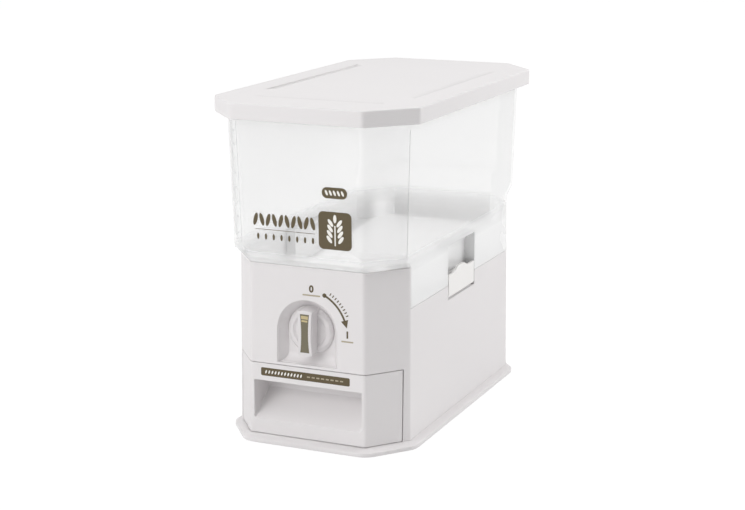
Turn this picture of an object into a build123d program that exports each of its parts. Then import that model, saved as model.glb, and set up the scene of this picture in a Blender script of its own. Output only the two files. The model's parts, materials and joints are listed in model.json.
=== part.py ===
from build123d import *
import math
import os

# Countertop rice dispenser: a clear hopper with a lift-off lid stands on a pale
# housing.  A quarter turn of the knob opens a drum gate under the hopper, and the
# rice falls into a drawer that pulls out to the front.
#
# Millimetres.  X runs left to right, the front faces -Y and Z is up.  The origin is
# on the table, under the middle of the lid.

# ---------------------------------------------------------------- driving sizes

# body: the housing and, above its side rim, the flush lower part of the hopper
body_width = 188.0
body_depth = 362.8
body_cut_x = 31.2          # cut corners, measured along X and along Y
body_cut_y = 39.3
body_lean = 0.009          # each face leans in by this much per millimetre of height
body_edge_radius = 6.0
housing_wall = 2.6

# heights above the table
foot_drop = 1.0            # the base plate stands this high on its feet
plinth_lip_z = 4.6
plinth_top_z = 8.6
drawer_top_z = 82.5
side_rim_z = 142.2
rear_rim_z = 150.0
front_rim_z = 183.5
hopper_rim_z = 339.9

# base plate
plinth_reach = 7.0         # how far the plinth stands out past the body
base_wall = 2.6
plinth_edge_radius = 1.2
locating_rim = 5.0          # height of the rim that holds the housing in place
runner_height = 1.7
runner_inset = 26.3        # from the bin's side
runner_width = 6.0
guide_height = 8.0
guide_wall = 2.0
guide_gap = 0.6            # between a guide and the drawer's side
stop_height = 14.0
stop_half_length = 30.0

# hopper
flare_overhang_x = 0.1     # past the body at each side, at the top of the bevel
flare_overhang_y = 6.2
flare_cut_x = 31.6
flare_cut_y = 35.7
flare_lean_x = 0.022       # the flared faces lean out on their way up
flare_lean_y = 0.029
bevel_height = 7.2
hopper_wall = 2.2
rear_rise = 0.345          # slope of the flare's lower edge where it climbs to the back
rear_rise_length = 99.4    # the edge climbs over this much of the body's rear end
front_step_depth = 42.4    # the housing stands high over this much of its front end
seat_gap = 0.3             # between parts that rest on or beside each other
fit_gap = 0.5              # between the hopper's skirt and the housing
skirt_depth = 6.0
rim_collar_height = 4.0    # stiffening collar round the hopper, under the lid
rim_collar_drop = 6.4
bond_gap = 0.1             # between the collar and the hopper's wall

# hopper floor, outlet and gate
floor_front_z = 159.0
floor_low_z = 150.0
floor_rear_z = 164.0
outlet_y = -22.0
outlet_width = 22.0
outlet_length = 44.0
funnel_width = 104.0
funnel_length = 96.0
funnel_height = 8.6
neck_wall = 2.0
funnel_seat = 3.0          # the funnel's flange reaches this far under the floor
funnel_flange = 2.0
neck_reach = 5.0           # the neck goes this far below the shoulder
seal_height = 2.6
shoulder_width = 5.0       # flange round the neck that presses on the seal
drum_radius = 16.0
drum_clearance = 0.2
drum_web = 6.0             # solid end of the drum beside its slot
journal_radius = 4.5
valve_wall = 2.6
valve_foot_width = 66.0
valve_foot_length = 92.0
valve_ear = 3.4
deck_top_z = 87.2
deck_wall = 2.4
deck_past_bin = 22.7       # how far the deck reaches past the bin's rear

# knob and its arched recess
knob_z = 118.5
knob_radius = 24.25
knob_bar_height = 11.5     # above the rim
knob_bar_width = 17.2
knob_bar_waist = 13.6
knob_bar_taper = 3.0       # degrees
knob_edge_bevel = 2.95     # bevel round the disc, across and deep
knob_edge_depth = 3.2
knob_rim_width = 3.1
knob_bar_edge = 0.7
knob_well_depth = 1.6
knob_well_slope = 2.6      # width of the well's sloping side
knob_front_gap = 6.4       # the rim sits this far behind the front face
inlay_length = 38.6
inlay_width = 9.6
inlay_waist = 7.2
inlay_thickness = 1.0
recess_depth = 11.0
recess_half_width = 32.6   # at the front face
recess_back_half = 24.9    # the side walls and the arch taper in to this
recess_bottom_z = 85.2
recess_sweep = 10.0
shaft_radius = 4.0
bearing_clearance = 0.06
bush_wall = 1.9
bush_flange = 2.0

# drawer
drawer_side = 6.05         # from the body's side to the end of the drawer front
drawer_seam = 0.7
drawer_wall = 2.4
cup_half_width = 58.4
cup_bottom_z = 23.8
cup_top_z = 63.9
cup_depth = 32.0
cup_slope_top_z = 47.8
cup_corner = 2.4
cup_lip_radius = 0.7
bin_side = 9.7             # from the body's side to the bin
bin_length = 208.0
bin_top_z = 77.6
bin_wall = 2.2
bin_corner = 12.0
bin_lip = 1.8
bin_edge_radius = 3.0
drawer_boss_inset = 19.95  # from the end of the drawer front

# latches
latch_y = -0.4
latch_width = 73.8
latch_bottom_z = 128.0
latch_shoulder_z = 152.5
latch_tab_z = 157.4
latch_tab_y = -2.0         # middle of the finger tab
latch_tab_width = 40.0
latch_tab_top = 18.0
latch_thickness = 2.5
latch_corner = 18.0
latch_edge_radius = 0.7
latch_gap = 1.2            # below the latch in its pocket
latch_front_gap = 2.4
latch_rear_gap = 0.6
pocket_depth = 10.8
pocket_wall = 2.2
pin_radius = 1.5
barrel_radius = 3.2
barrel_gap = 1.5
catch_height = 3.0
catch_reach = 4.8
catch_width = 38.0
catch_top_z = 149.0
hook_height = 2.5
hook_overlap = 2.6

# lid
lid_overhang_x = 15.4      # past the flare at each side
lid_overhang_y = 15.2
lid_skirt_depth = 15.8
lid_cut_x = 39.5
lid_cut_y = 44.2
lid_edge_radius = 7.0
lid_top_radius = 1.4
lid_top_wall = 3.0
lid_skirt_wall = 2.4
lid_ring_depth = 13.0
lid_ring_wall = 1.8
lid_ring_gap = 0.5
lid_rib_wall = 1.4
lid_rib_depth = 5.0
groove_depth = 1.8
groove_width = 10.5
groove_inset_x = 27.5      # from the lid's side to the side grooves
groove_front_gap = 96.8    # from the lid's front to their ends, and from its rear
groove_rear_gap = 75.8
groove_inset_y = 49.8      # from the lid's front to the front groove
groove_side_gap = 37.5     # from the lid's side to that groove's end

# fasteners and feet
screw_radius = 1.5
screw_head_radius = 2.9
screw_head_height = 1.8
screw_fit = 0.05
base_screw_length = 11.0
deck_screw_length = 11.0
valve_screw_length = 8.0
cap_screw_length = 9.0
drawer_screw_length = 10.0
knob_screw_length = 9.0
boss_radius = 4.0
foot_radius = 7.0
foot_rim = 1.8
foot_bevel = 0.8
foot_inset_x = 24.0        # from the body's faces
foot_inset_y = 31.4
boss_inset_x = 9.4         # screw bosses: the side pair, then the rear pair
boss_back_y = 73.4
rear_boss_inset_x = 44.0
rear_boss_back_y = 8.4
deck_post_inset = 22.0
deck_post_gap = 12.0

# ---------------------------------------------------------------- derived places

far = 500.0                # past every face of the model
body_half_width = body_width / 2
body_half_depth = body_depth / 2
flare_width = body_width + 2 * flare_overhang_x
flare_depth = body_depth + 2 * flare_overhang_y
lid_width = flare_width + 2 * lid_overhang_x
lid_depth = flare_depth + 2 * lid_overhang_y
lid_top_z = hopper_rim_z + lid_top_wall + seat_gap
rear_rise_y = body_half_depth - rear_rise_length
front_step_y = front_step_depth - body_half_depth
flare_bottom_z = front_rim_z + seat_gap
flare_z = flare_bottom_z + bevel_height
lid_bottom_z = lid_top_z - lid_skirt_depth

front_face_y = -(body_half_depth - body_lean * (knob_z - plinth_top_z))
recess_back_y = front_face_y + recess_depth
knob_back_y = recess_back_y - seat_gap
knob_rim_y = front_face_y + knob_front_gap
knob_disc = knob_back_y - knob_rim_y
bar_top = knob_disc + knob_bar_height
knob_axis = Plane(origin=(0, knob_back_y, knob_z), x_dir=(1, 0, 0), z_dir=(0, -1, 0))

drawer_half_width = body_half_width - drawer_side
drawer_boss_x = drawer_half_width - drawer_boss_inset
bin_half_width = body_half_width - bin_side
cup_back_y = -body_half_depth + cup_depth
drawer_back_y = cup_back_y + drawer_wall
bin_front_y = drawer_back_y + seat_gap
bin_back_y = bin_front_y + bin_length
bin_bottom_z = plinth_top_z + runner_height + seat_gap
drawer_boss_zs = (22.0, 66.0)
runner_x = bin_half_width - runner_inset
deck_back_y = bin_back_y + deck_past_bin

latch_face_x = body_width / 2 - body_lean * (side_rim_z - plinth_top_z)
latch_front_y = latch_y - latch_width / 2
latch_rear_y = latch_y + latch_width / 2
pocket_front_y = latch_front_y - latch_front_gap
pocket_rear_y = latch_rear_y + latch_rear_gap
pocket_bottom_z = latch_bottom_z - latch_gap
pocket_back_x = latch_face_x - pocket_depth
pin_x = latch_face_x - barrel_radius
pin_z = latch_bottom_z + barrel_radius

bore_radius = drum_radius + drum_clearance
drum_half_length = outlet_length / 2 + drum_web
drum_front_y = outlet_y - drum_half_length
drum_back_y = outlet_y + drum_half_length
shoulder_z = floor_low_z - funnel_height + 2 - hopper_wall
valve_top_z = shoulder_z - seal_height
neck_bottom_z = shoulder_z - neck_reach
chute_bottom_z = deck_top_z - deck_wall - 1.2

foot_x = body_half_width - foot_inset_x
foot_y = body_half_depth - foot_inset_y
base_boss_spots = [(body_half_width - boss_inset_x, body_half_depth - boss_back_y),
                   (body_half_width - rear_boss_inset_x, body_half_depth - rear_boss_back_y)]
deck_post_x = body_half_width - deck_post_inset
deck_post_y = bin_back_y + deck_post_gap

# ---------------------------------------------------------------- helpers


def slab(x0, x1, y0, y1, z0, z1):
    """Block between three pairs of planes."""
    middle = Pos((x0 + x1) / 2, (y0 + y1) / 2, (z0 + z1) / 2)
    return middle * Box(x1 - x0, y1 - y0, z1 - z0)


def post(radius, x, y, z0, z1):
    """Upright cylinder."""
    return Pos(x, y, (z0 + z1) / 2) * Cylinder(radius, z1 - z0)


def rod(radius, x, z, y0, y1):
    """Cylinder along Y."""
    return Pos(x, (y0 + y1) / 2, z) * Rot(90, 0, 0) * Cylinder(radius, y1 - y0)


def mirrored(part):
    """The same part on the other side of the middle."""
    return mirror(part, about=Plane.YZ)


def both_sides(part):
    return part + mirrored(part)


def side_profile(points, half_width):
    """Solid with a (y, z) outline, spread evenly over x."""
    outline = Plane.YZ * make_face(Polyline(*points, close=True))
    return extrude(outline, half_width, both=True)


def screws(places, length):
    """Pan-head screws, one solid each, with their heads' seats at the places."""
    return Compound(children=[screw(place, length) for place in places])


def screw(place, length):
    """Pan-head screw: the head's seat is at the place, and the shank points down from it."""
    shank = Pos(0, 0, -length / 2) * Cylinder(screw_radius, length)
    head = Pos(0, 0, screw_head_height / 2) * Cylinder(screw_head_radius, screw_head_height)
    head = chamfer(head.edges().group_by(Axis.Z)[-1], screw_head_height / 3)
    return place * (shank + head)


def screw_hole(place, length):
    depth = length + 1
    return place * Pos(0, 0, -depth / 2) * Cylinder(screw_radius + screw_fit, depth)


def octagon_corners(half_x, half_y, cut_x, cut_y):
    """Corners of a rectangle with its four corners cut off, anticlockwise."""
    return [
        (half_x, -half_y + cut_y), (half_x, half_y - cut_y),
        (half_x - cut_x, half_y), (-half_x + cut_x, half_y),
        (-half_x, half_y - cut_y), (-half_x, -half_y + cut_y),
        (-half_x + cut_x, -half_y), (half_x - cut_x, -half_y),
    ]


def inset_octagon(sizes, inset):
    """The sizes of the octagon that lies inside by the same distance all round."""
    half_x, half_y, cut_x, cut_y = sizes
    loss = inset * (cut_x + cut_y - math.hypot(cut_x, cut_y))
    return half_x - inset, half_y - inset, cut_x - loss / cut_y, cut_y - loss / cut_x


def octagon(sizes, radius, inset, z):
    """Rounded octagon face at height z."""
    corners = octagon_corners(*inset_octagon(sizes, inset))
    face = make_face(Polyline(*corners, close=True))
    face = fillet(face.vertices(), max(radius - inset, radius / 4))
    return Pos(0, 0, z) * face


def body_sizes(z):
    lean = body_lean * (z - plinth_top_z)
    return body_width / 2 - lean, body_half_depth - lean, body_cut_x, body_cut_y


def flare_sizes(z):
    spread_x = flare_lean_x * (z - flare_z)
    spread_y = flare_lean_y * (z - flare_z)
    return flare_width / 2 + spread_x, flare_depth / 2 + spread_y, flare_cut_x, flare_cut_y


def body_block(z0, z1, inset=0.0):
    """Solid stretch of the leaning body."""
    faces = [octagon(body_sizes(z), body_edge_radius, inset, z) for z in (z0, z1)]
    return loft(faces, ruled=True)


def climbing_face(share, inset, z):
    """Octagon between the body (share 0) and the flare (share 1), on the rising plane."""
    points = []
    for index, (_, y) in enumerate(octagon_corners(*inset_octagon(flare_sizes(z), inset))):
        height = z + rear_rise * (y - rear_rise_y)
        pairs = zip(body_sizes(height), flare_sizes(height))
        sizes = [low + share * (wide - low) for low, wide in pairs]
        x, y = octagon_corners(*inset_octagon(sizes, inset))[index]
        points.append((x, y, z + rear_rise * (y - rear_rise_y)))
    return make_face(Polyline(*points, close=True))


def flare_block(inset, lift):
    """Flared upper hopper.  Its lower edge is bevelled and climbs towards the back."""
    low = flare_bottom_z + lift
    wide = flare_z + lift
    level = loft([
        octagon(body_sizes(low), body_edge_radius, inset, low),
        octagon(flare_sizes(wide), body_edge_radius, inset, wide),
        octagon(flare_sizes(hopper_rim_z), body_edge_radius, inset, hopper_rim_z),
    ], ruled=True)
    past = 1.6
    climbing = loft([
        climbing_face(0, inset, low),
        climbing_face(past, inset, low + past * bevel_height),
        climbing_face(2 * past, inset, far),
    ], ruled=True)
    return level & climbing


def above_floor(drop):
    """Everything over the hopper floor, which falls to the outlet from front and back."""
    front = -body_half_depth
    line = [
        (-far, floor_front_z), (front, floor_front_z),
        (outlet_y - outlet_length / 2, floor_low_z), (outlet_y + outlet_length / 2, floor_low_z),
        (body_half_depth, floor_rear_z), (far, floor_rear_z),
    ]
    return side_profile([(y, z - drop) for y, z in line] + [(far, far), (-far, far)], far)


def duct(low, high, z0, z1):
    """Straight or tapering block over the outlet, given as (width, length) at both ends."""
    spread_x = (high[0] - low[0]) / 2
    spread_y = (high[1] - low[1]) / 2
    block = Wedge(low[0], z1 - z0, low[1], -spread_x, -spread_y, low[0] + spread_x,
                  low[1] + spread_y)
    return Pos(0, outlet_y, (z0 + z1) / 2) * Rot(90, 0, 0) * block


# ---------------------------------------------------------------- base


def base_plate():
    """Plinth with a sloping top edge, the drawer's runners and guides, and deck posts."""
    top_sizes = body_sizes(plinth_top_z)
    levels = [(-plinth_reach, foot_drop), (-plinth_reach, plinth_lip_z), (0, plinth_top_z)]
    plate = loft([octagon(top_sizes, body_edge_radius + plinth_reach, inset, z)
                  for inset, z in levels], ruled=True)
    lip_edges = plate.edges().filter_by_position(Axis.Z, plinth_lip_z - 0.1, plinth_lip_z + 0.1)
    plate = fillet(lip_edges, plinth_edge_radius)
    floor_z = plinth_top_z - base_wall
    plate -= loft([octagon(top_sizes, body_edge_radius, base_wall - plinth_reach, foot_drop),
                   octagon(top_sizes, body_edge_radius, base_wall, floor_z)], ruled=True)

    # rim that locates the housing, open in front for the drawer
    rim_inset = housing_wall + seat_gap
    rim = body_block(plinth_top_z, plinth_top_z + locating_rim, rim_inset)
    rim -= body_block(plinth_top_z - 1, plinth_top_z + locating_rim + 1, rim_inset + guide_wall)
    rim -= slab(-far, far, -far, -body_half_depth + body_cut_y + body_edge_radius, 0, far)
    for x, y in base_boss_spots:
        room = boss_radius + seat_gap
        rim -= both_sides(slab(x - room, x + 10, y - room, y + 10, 0, far))
    plate += rim

    # runners under the drawer and guides beside it
    front = drawer_back_y + runner_width
    runner_top = plinth_top_z + runner_height
    guide_x = bin_half_width + guide_gap
    plate += both_sides(
        slab(runner_x, runner_x + runner_width, front, bin_back_y, plinth_top_z, runner_top)
        + slab(guide_x, guide_x + guide_wall, front, bin_back_y, plinth_top_z,
               plinth_top_z + guide_height)
    )
    stop_y = bin_back_y + seat_gap
    plate += slab(-stop_half_length, stop_half_length, stop_y, stop_y + guide_wall, plinth_top_z,
                  plinth_top_z + stop_height)

    # posts for the inner deck
    deck_under = deck_top_z - deck_wall
    plate += both_sides(post(boss_radius, deck_post_x, deck_post_y, plinth_top_z, deck_under))
    for place in deck_screw_places():
        plate -= screw_hole(place, deck_screw_length)

    # sockets for the feet, and holes for the housing screws
    for x in (-foot_x, foot_x):
        for y in (-foot_y, foot_y):
            ring = post(foot_radius + foot_rim, x, y, foot_drop + 1, floor_z)
            plate += ring - post(foot_radius + screw_fit, x, y, 0, floor_z)
    for place in base_screw_places():
        plate -= screw_hole(place, base_screw_length)
    return plate


def deck_screw_places():
    return [Pos(side * deck_post_x, deck_post_y, deck_top_z) for side in (-1, 1)]


def base_screw_places():
    """Seats of the screw heads under the base plate; the shanks point up."""
    seat = plinth_top_z - base_wall
    return [Pos(side * x, y, seat) * Rot(180, 0, 0) for x, y in base_boss_spots
            for side in (-1, 1)]


def rubber_foot(x, y):
    top = plinth_top_z - base_wall
    foot = post(foot_radius, x, y, 0, top)
    return chamfer(foot.edges().group_by(Axis.Z)[0], foot_bevel)


# ---------------------------------------------------------------- housing


def arch_face(half_width, bottom_z):
    """Round-topped doorway outline about the knob, drawn in (x, z)."""
    side = Line((half_width, bottom_z), (half_width, knob_z))
    crown = ThreePointArc((half_width, knob_z), (0, knob_z + half_width), (-half_width, knob_z))
    other = Line((-half_width, knob_z), (-half_width, bottom_z))
    sill = Line((-half_width, bottom_z), (half_width, bottom_z))
    return make_face([side, crown, other, sill])


def front_plane(y):
    """Upright plane facing the front, drawn with (x, z) coordinates."""
    return Plane(origin=(0, y, 0), x_dir=(1, 0, 0), z_dir=(0, -1, 0))


def recess_block(wall, front_y):
    """Tapered arch from the recess's back to front_y, grown by a wall all round."""
    taper = (recess_half_width - recess_back_half) / recess_depth
    faces = []
    for y in (recess_back_y + wall, front_y):
        half = recess_back_half + taper * (recess_back_y - y) + wall * math.hypot(1, taper)
        faces.append(front_plane(y) * arch_face(half, recess_bottom_z - wall))
    return loft(faces, ruled=True)


def knob_recess():
    """Hollow of the recess: a tapered arch with a floor that sweeps out to the front."""
    niche = recess_block(0, front_face_y - recess_depth / 2)
    back = niche.edges().filter_by_position(Axis.Y, recess_back_y - 0.1, recess_back_y + 0.1)
    return fillet(back.sort_by(Axis.Z)[0], recess_sweep)


def recess_cup():
    """Liner of the arched recess, behind the housing's front, with the hole for the bush."""
    cup = recess_block(housing_wall, front_face_y) & body_block(plinth_top_z, front_rim_z,
                                                                 housing_wall)
    cup -= knob_recess()
    return cup - rod(shaft_radius + bush_wall + screw_fit, 0, knob_z, recess_back_y - 1,
                     recess_back_y + 2 * housing_wall)


def latch_pocket(grow=0.0, bottom_z=pocket_bottom_z, top_z=far):
    """Space of the right-hand latch channel, grown all round where asked."""
    return slab(pocket_back_x - grow, far, pocket_front_y - grow, pocket_rear_y + grow,
                bottom_z - grow, top_z)


def housing():
    """Grey shell, high round the front corners and low along the sides."""
    bottom = plinth_top_z
    top = front_rim_z
    shell = body_block(bottom, top) - body_block(bottom - 1, top + 1, housing_wall)

    rear_cut_y = body_half_depth - body_cut_y - body_lean * (side_rim_z - bottom)
    shell -= side_profile([
        (front_step_y, side_rim_z), (rear_cut_y, side_rim_z),
        (rear_cut_y + body_cut_y, rear_rim_z), (far, rear_rim_z), (far, far), (front_step_y, far),
    ], far)

    # arched hole round the knob
    shell -= knob_recess()

    # doorway for the drawer front
    door = drawer_half_width + drawer_seam
    shell -= slab(-door, door, -far, -body_half_depth + body_cut_y, bottom - 1, drawer_top_z)

    # latch pockets with holes for the pins
    skin = latch_pocket(pocket_wall, top_z=side_rim_z) & body_block(bottom, side_rim_z)
    shell += both_sides(skin)
    shell -= both_sides(latch_pocket())
    shell -= both_sides(rod(pin_radius, pin_x, pin_z, pocket_front_y - pocket_wall,
                            pocket_rear_y + pocket_wall))

    # ledges for the inner deck, and bosses for the base screws
    deck_under = deck_top_z - deck_wall - seat_gap
    ledge = slab(bin_half_width + bin_lip + 1.2, far, front_step_y, bin_back_y - 6,
                 deck_under - 2, deck_under)
    for x, y in base_boss_spots:
        ledge += post(boss_radius, x, y, bottom, bottom + 26)
        ledge += slab(x, far, y - 1, y + 1, bottom + 6, bottom + 26)
        ledge += slab(x - 1, x + 1, y, far, bottom + 6, bottom + 26)
    shell += both_sides(ledge & body_block(bottom, top, housing_wall / 2))
    for place in base_screw_places():
        shell -= screw_hole(place, base_screw_length)
    return shell


def shaft_bush():
    """Flanged bearing in the wall of the recess."""
    back = recess_back_y + housing_wall
    sleeve = rod(shaft_radius + bush_wall, 0, knob_z, recess_back_y + 0.2, back + 7)
    flange = rod(shaft_radius + 2 * bush_wall, 0, knob_z, back, back + bush_flange)
    bore = rod(shaft_radius + bearing_clearance, 0, knob_z, recess_back_y, back + 8)
    return sleeve + flange - bore


# ---------------------------------------------------------------- hopper


def channel_block():
    """Room of the right-hand channel liner, out to the surface and up into the flare."""
    liner = latch_pocket(hopper_wall, top_z=flare_bottom_z)
    cover = latch_pocket(hopper_wall, top_z=flare_bottom_z + hopper_wall)
    return liner + (cover & slab(0, latch_face_x - latch_thickness, -far, far, 0, far))


def hopper():
    """Clear tank: flared above the housing, cut out at both sides for the channel liners."""
    return tank_moulding() - both_sides(channel_block())


def channel_liner():
    """Right-hand liner over the latch, with the catch that the latch hooks on."""
    return tank_moulding() & channel_block()


def tank_moulding():
    """The hopper and both channel liners in one."""
    high = rear_rim_z + 90
    fit = housing_wall + fit_gap
    side_bottom = side_rim_z + seat_gap
    behind_step = slab(-far, far, front_step_y + seat_gap, far, 0, far)
    rear_bottom = side_profile([
        (-far, side_bottom), (body_half_depth - body_cut_y, side_bottom),
        (body_half_depth, rear_rim_z + seat_gap), (far, rear_rim_z + seat_gap),
        (far, far), (-far, far),
    ], far)
    tank = flare_block(0, 0)
    tank += body_block(side_bottom, high) & behind_step & rear_bottom
    tank += body_block(side_rim_z - skirt_depth, high, fit)

    hollow = flare_block(hopper_wall, hopper_wall)
    inner_step = slab(-far, far, front_step_y + seat_gap + hopper_wall, far, 0, far)
    hollow += body_block(side_bottom, high, hopper_wall) & inner_step
    hollow += body_block(side_bottom, high, fit + hopper_wall)
    under = body_block(0, floor_rear_z, fit + hopper_wall) - above_floor(hopper_wall)
    channel_skin = latch_pocket(hopper_wall, top_z=flare_bottom_z + hopper_wall)
    spaces = (hollow & above_floor(0)) + under
    spaces -= both_sides(channel_skin)
    tank -= spaces

    # no skirt in front, where the knob recess is
    recess_top = knob_z + recess_half_width + housing_wall + 2 * fit_gap
    tank -= slab(-far, far, -far, front_step_y, 0, recess_top)

    # channels over the latches, clear of the housing's pockets below the rim
    tank -= both_sides(latch_pocket(top_z=flare_bottom_z))
    tank -= both_sides(latch_pocket(pocket_wall + fit_gap, top_z=side_bottom))
    catch = slab(pocket_back_x, pocket_back_x + catch_reach, latch_y - catch_width / 2,
                 latch_y + catch_width / 2, catch_top_z - catch_height, catch_top_z)
    tank += both_sides(catch)

    # hole in the floor for the funnel
    hole = funnel_mouth()
    tank -= duct(hole, hole, neck_bottom_z, floor_rear_z)
    return tank


def funnel_mouth():
    return funnel_width + 2 * hopper_wall, funnel_length + 2 * hopper_wall


def outlet_funnel():
    """Insert in the hopper's floor: a flange under it, the funnel, a shoulder and a neck."""
    lip_z = shoulder_z + hopper_wall
    funnel_top = lip_z + funnel_height
    mouth = funnel_mouth()
    neck = (outlet_width + 2 * neck_wall, outlet_length + 2 * neck_wall)
    shoulder = (neck[0] + 2 * shoulder_width, neck[1] + 2 * shoulder_width)
    outlet = (outlet_width, outlet_length)
    seat = (mouth[0] + 2 * funnel_seat, mouth[1] + 2 * funnel_seat)
    funnel = duct(mouth, mouth, lip_z, floor_rear_z) - above_floor(0)
    funnel += duct(seat, seat, lip_z, floor_rear_z) - above_floor(hopper_wall)
    funnel &= above_floor(hopper_wall + funnel_flange)
    funnel += duct(shoulder, mouth, shoulder_z, funnel_top - 0.5) - above_floor(0)
    funnel += duct(neck, neck, neck_bottom_z, lip_z)
    funnel -= duct(outlet, (funnel_width, funnel_length), lip_z, funnel_top)
    return funnel - duct(outlet, outlet, neck_bottom_z - 1, lip_z + 1)


def rim_collar():
    """Ring that stiffens the hopper's rim and centres the lid's skirt."""
    top = hopper_rim_z - rim_collar_drop
    low = top - rim_collar_height
    reach = lid_skirt_wall + 1.0
    ring = loft([lid_outline(reach, z) for z in (low, top)], ruled=True)
    return ring - loft([octagon(flare_sizes(z), body_edge_radius, -bond_gap, z)
                        for z in (low - 1, top + 1)], ruled=True)


# ---------------------------------------------------------------- gate


def valve_body():
    """Casing of the drum: a bored barrel with an inlet mouth, a chute and a foot."""
    rear = drum_back_y + seat_gap
    barrel = rod(bore_radius + valve_wall, 0, knob_z, drum_front_y - seat_gap, rear + valve_wall)
    wide = 2 * valve_wall
    neck = (outlet_width + 2 * neck_wall + 2 * seat_gap, outlet_length + 2 * neck_wall + 2 * seat_gap)
    step_z = neck_bottom_z - 1.0
    mouth = (neck[0] + wide, neck[1] + wide)
    casing = barrel
    outlet = (outlet_width, outlet_length)
    chute = (outlet_width + wide, outlet_length + wide)
    foot = (valve_foot_width, valve_foot_length)
    foot_z = deck_top_z + valve_wall
    casing += duct(mouth, mouth, knob_z, valve_top_z)
    casing += duct(chute, chute, chute_bottom_z, knob_z)
    casing += duct(foot, foot, deck_top_z, foot_z)
    for y in (drum_front_y, rear - valve_wall):
        casing += slab(-bore_radius, bore_radius, y, y + valve_wall, foot_z, knob_z)
    for place in cap_screw_places():
        casing += place * Pos(0, 0, -5 - valve_wall) * Cylinder(valve_ear, 10)
    casing -= rod(bore_radius, 0, knob_z, drum_front_y - 5, rear)
    casing -= rod(journal_radius + bearing_clearance, 0, knob_z, rear - 1, rear + 2 * valve_wall)
    casing -= duct(neck, neck, step_z, valve_top_z + 1)
    casing -= duct(outlet, outlet, chute_bottom_z - 1, step_z + 1)
    for place in cap_screw_places() + valve_screw_places():
        casing -= screw_hole(place, cap_screw_length)
    return casing


def cap_screw_places():
    """Seats of the three screws that hold the valve cap, around the barrel."""
    reach = bore_radius + valve_wall + valve_ear * 0.6
    face = drum_front_y - seat_gap - valve_wall
    places = []
    for angle in (0, 120, 240):
        x = reach * math.sin(math.radians(angle + 180))
        z = knob_z + reach * math.cos(math.radians(angle + 180))
        places.append(Pos(x, face, z) * Rot(90, 0, 0))
    return places


def valve_screw_places():
    """Seats of the four screws that hold the valve's foot on the deck."""
    x = valve_foot_width / 2 - 6
    y = valve_foot_length / 2 - 6
    return [Pos(sx * x, outlet_y + sy * y, deck_top_z + valve_wall)
            for sx in (-1, 1) for sy in (-1, 1)]


def valve_cap():
    """Front end of the valve, a bearing for the drum's journal."""
    face = drum_front_y - seat_gap
    cap = rod(bore_radius + valve_wall, 0, knob_z, face - valve_wall, face)
    cap += rod(journal_radius + valve_wall, 0, knob_z, face - valve_wall - 3, face - valve_wall)
    for place in cap_screw_places():
        cap += place * Pos(0, 0, -valve_wall / 2) * Cylinder(valve_ear, valve_wall)
    cap -= rod(journal_radius + bearing_clearance, 0, knob_z, face - 20, face + 1)
    for place in cap_screw_places():
        cap -= screw_hole(place, cap_screw_length)
    return cap


def gate_drum():
    """Rotary shutter.  At rest its slot lies across, and the drum closes the outlet."""
    drum = rod(drum_radius, 0, knob_z, drum_front_y, drum_back_y)
    drum += rod(journal_radius, 0, knob_z, drum_front_y - 8, drum_back_y + valve_wall)
    slot_height = 2 * math.sqrt(drum_radius ** 2 - (outlet_width / 2 + 1) ** 2)
    drum -= slab(-far, far, outlet_y - outlet_length / 2, outlet_y + outlet_length / 2,
                 knob_z - slot_height / 2, knob_z + slot_height / 2)
    drum -= key_bar(drum_front_y - 9, drum_front_y + drum_web - 1, screw_fit)
    return drum


def key_bar(y0, y1, grow):
    """Square end of the shaft, or the socket for it."""
    half = shaft_radius / math.sqrt(2) + grow
    return slab(-half, half, y0, y1, knob_z - half, knob_z + half)


def gate_shaft():
    """Round shaft with a square rear end, driven by the knob."""
    square_y = drum_front_y - 8
    shaft = rod(shaft_radius, 0, knob_z, knob_back_y - shaft_grip(), square_y)
    shaft += key_bar(square_y - 1, drum_front_y + drum_web - 1.5, 0)
    shaft -= screw_hole(knob_screw_place(), bar_top)
    return shaft


def shaft_grip():
    """Length of the shaft that sits in the knob."""
    return bar_top - inlay_thickness - screw_head_height - 3.0


def outlet_seal():
    """Rubber ring that the hopper's shoulder presses on the valve."""
    inner = (outlet_width + 2 * neck_wall + 2 * seat_gap, outlet_length + 2 * neck_wall + 2 * seat_gap)
    outer = (inner[0] + 2 * valve_wall, inner[1] + 2 * valve_wall)
    ring = Rectangle(*outer) - Rectangle(*inner)
    return Pos(0, outlet_y, valve_top_z) * extrude(ring, seal_height)


def inner_deck():
    """Partition over the drawer that carries the valve."""
    deck = body_block(deck_top_z - deck_wall, deck_top_z, housing_wall + fit_gap)
    front = recess_back_y + housing_wall + fit_gap
    deck &= slab(-far, far, front, deck_back_y, 0, far)
    wall_y = deck_back_y - deck_wall
    deck += slab(-bin_half_width + 20, bin_half_width - 20, wall_y, deck_back_y,
                 plinth_top_z + 24, deck_top_z - deck_wall)
    gap = 2 * valve_wall + 2 * seat_gap
    hole = (outlet_width + gap, outlet_length + gap)
    deck -= duct(hole, hole, deck_top_z - 2 * deck_wall, deck_top_z + 1)
    for place in valve_screw_places():
        boss = place * Pos(0, 0, -valve_wall - deck_wall - 2) * Cylinder(3.2, 4)
        deck += boss
        deck -= screw_hole(place, valve_screw_length)
    for place in deck_screw_places():
        deck -= screw_hole(place, deck_screw_length)
    return deck


# ---------------------------------------------------------------- knob


def waisted_face(length, width, waist):
    """Bar outline that narrows to its middle, drawn about the knob's axis."""
    half = length / 2
    right = ThreePointArc((width / 2, -half), (waist / 2, 0), (width / 2, half))
    head = Line((width / 2, half), (-width / 2, half))
    left = ThreePointArc((-width / 2, half), (-waist / 2, 0), (-width / 2, -half))
    tail = Line((-width / 2, -half), (width / 2, -half))
    return make_face([right, head, left, tail])


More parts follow.
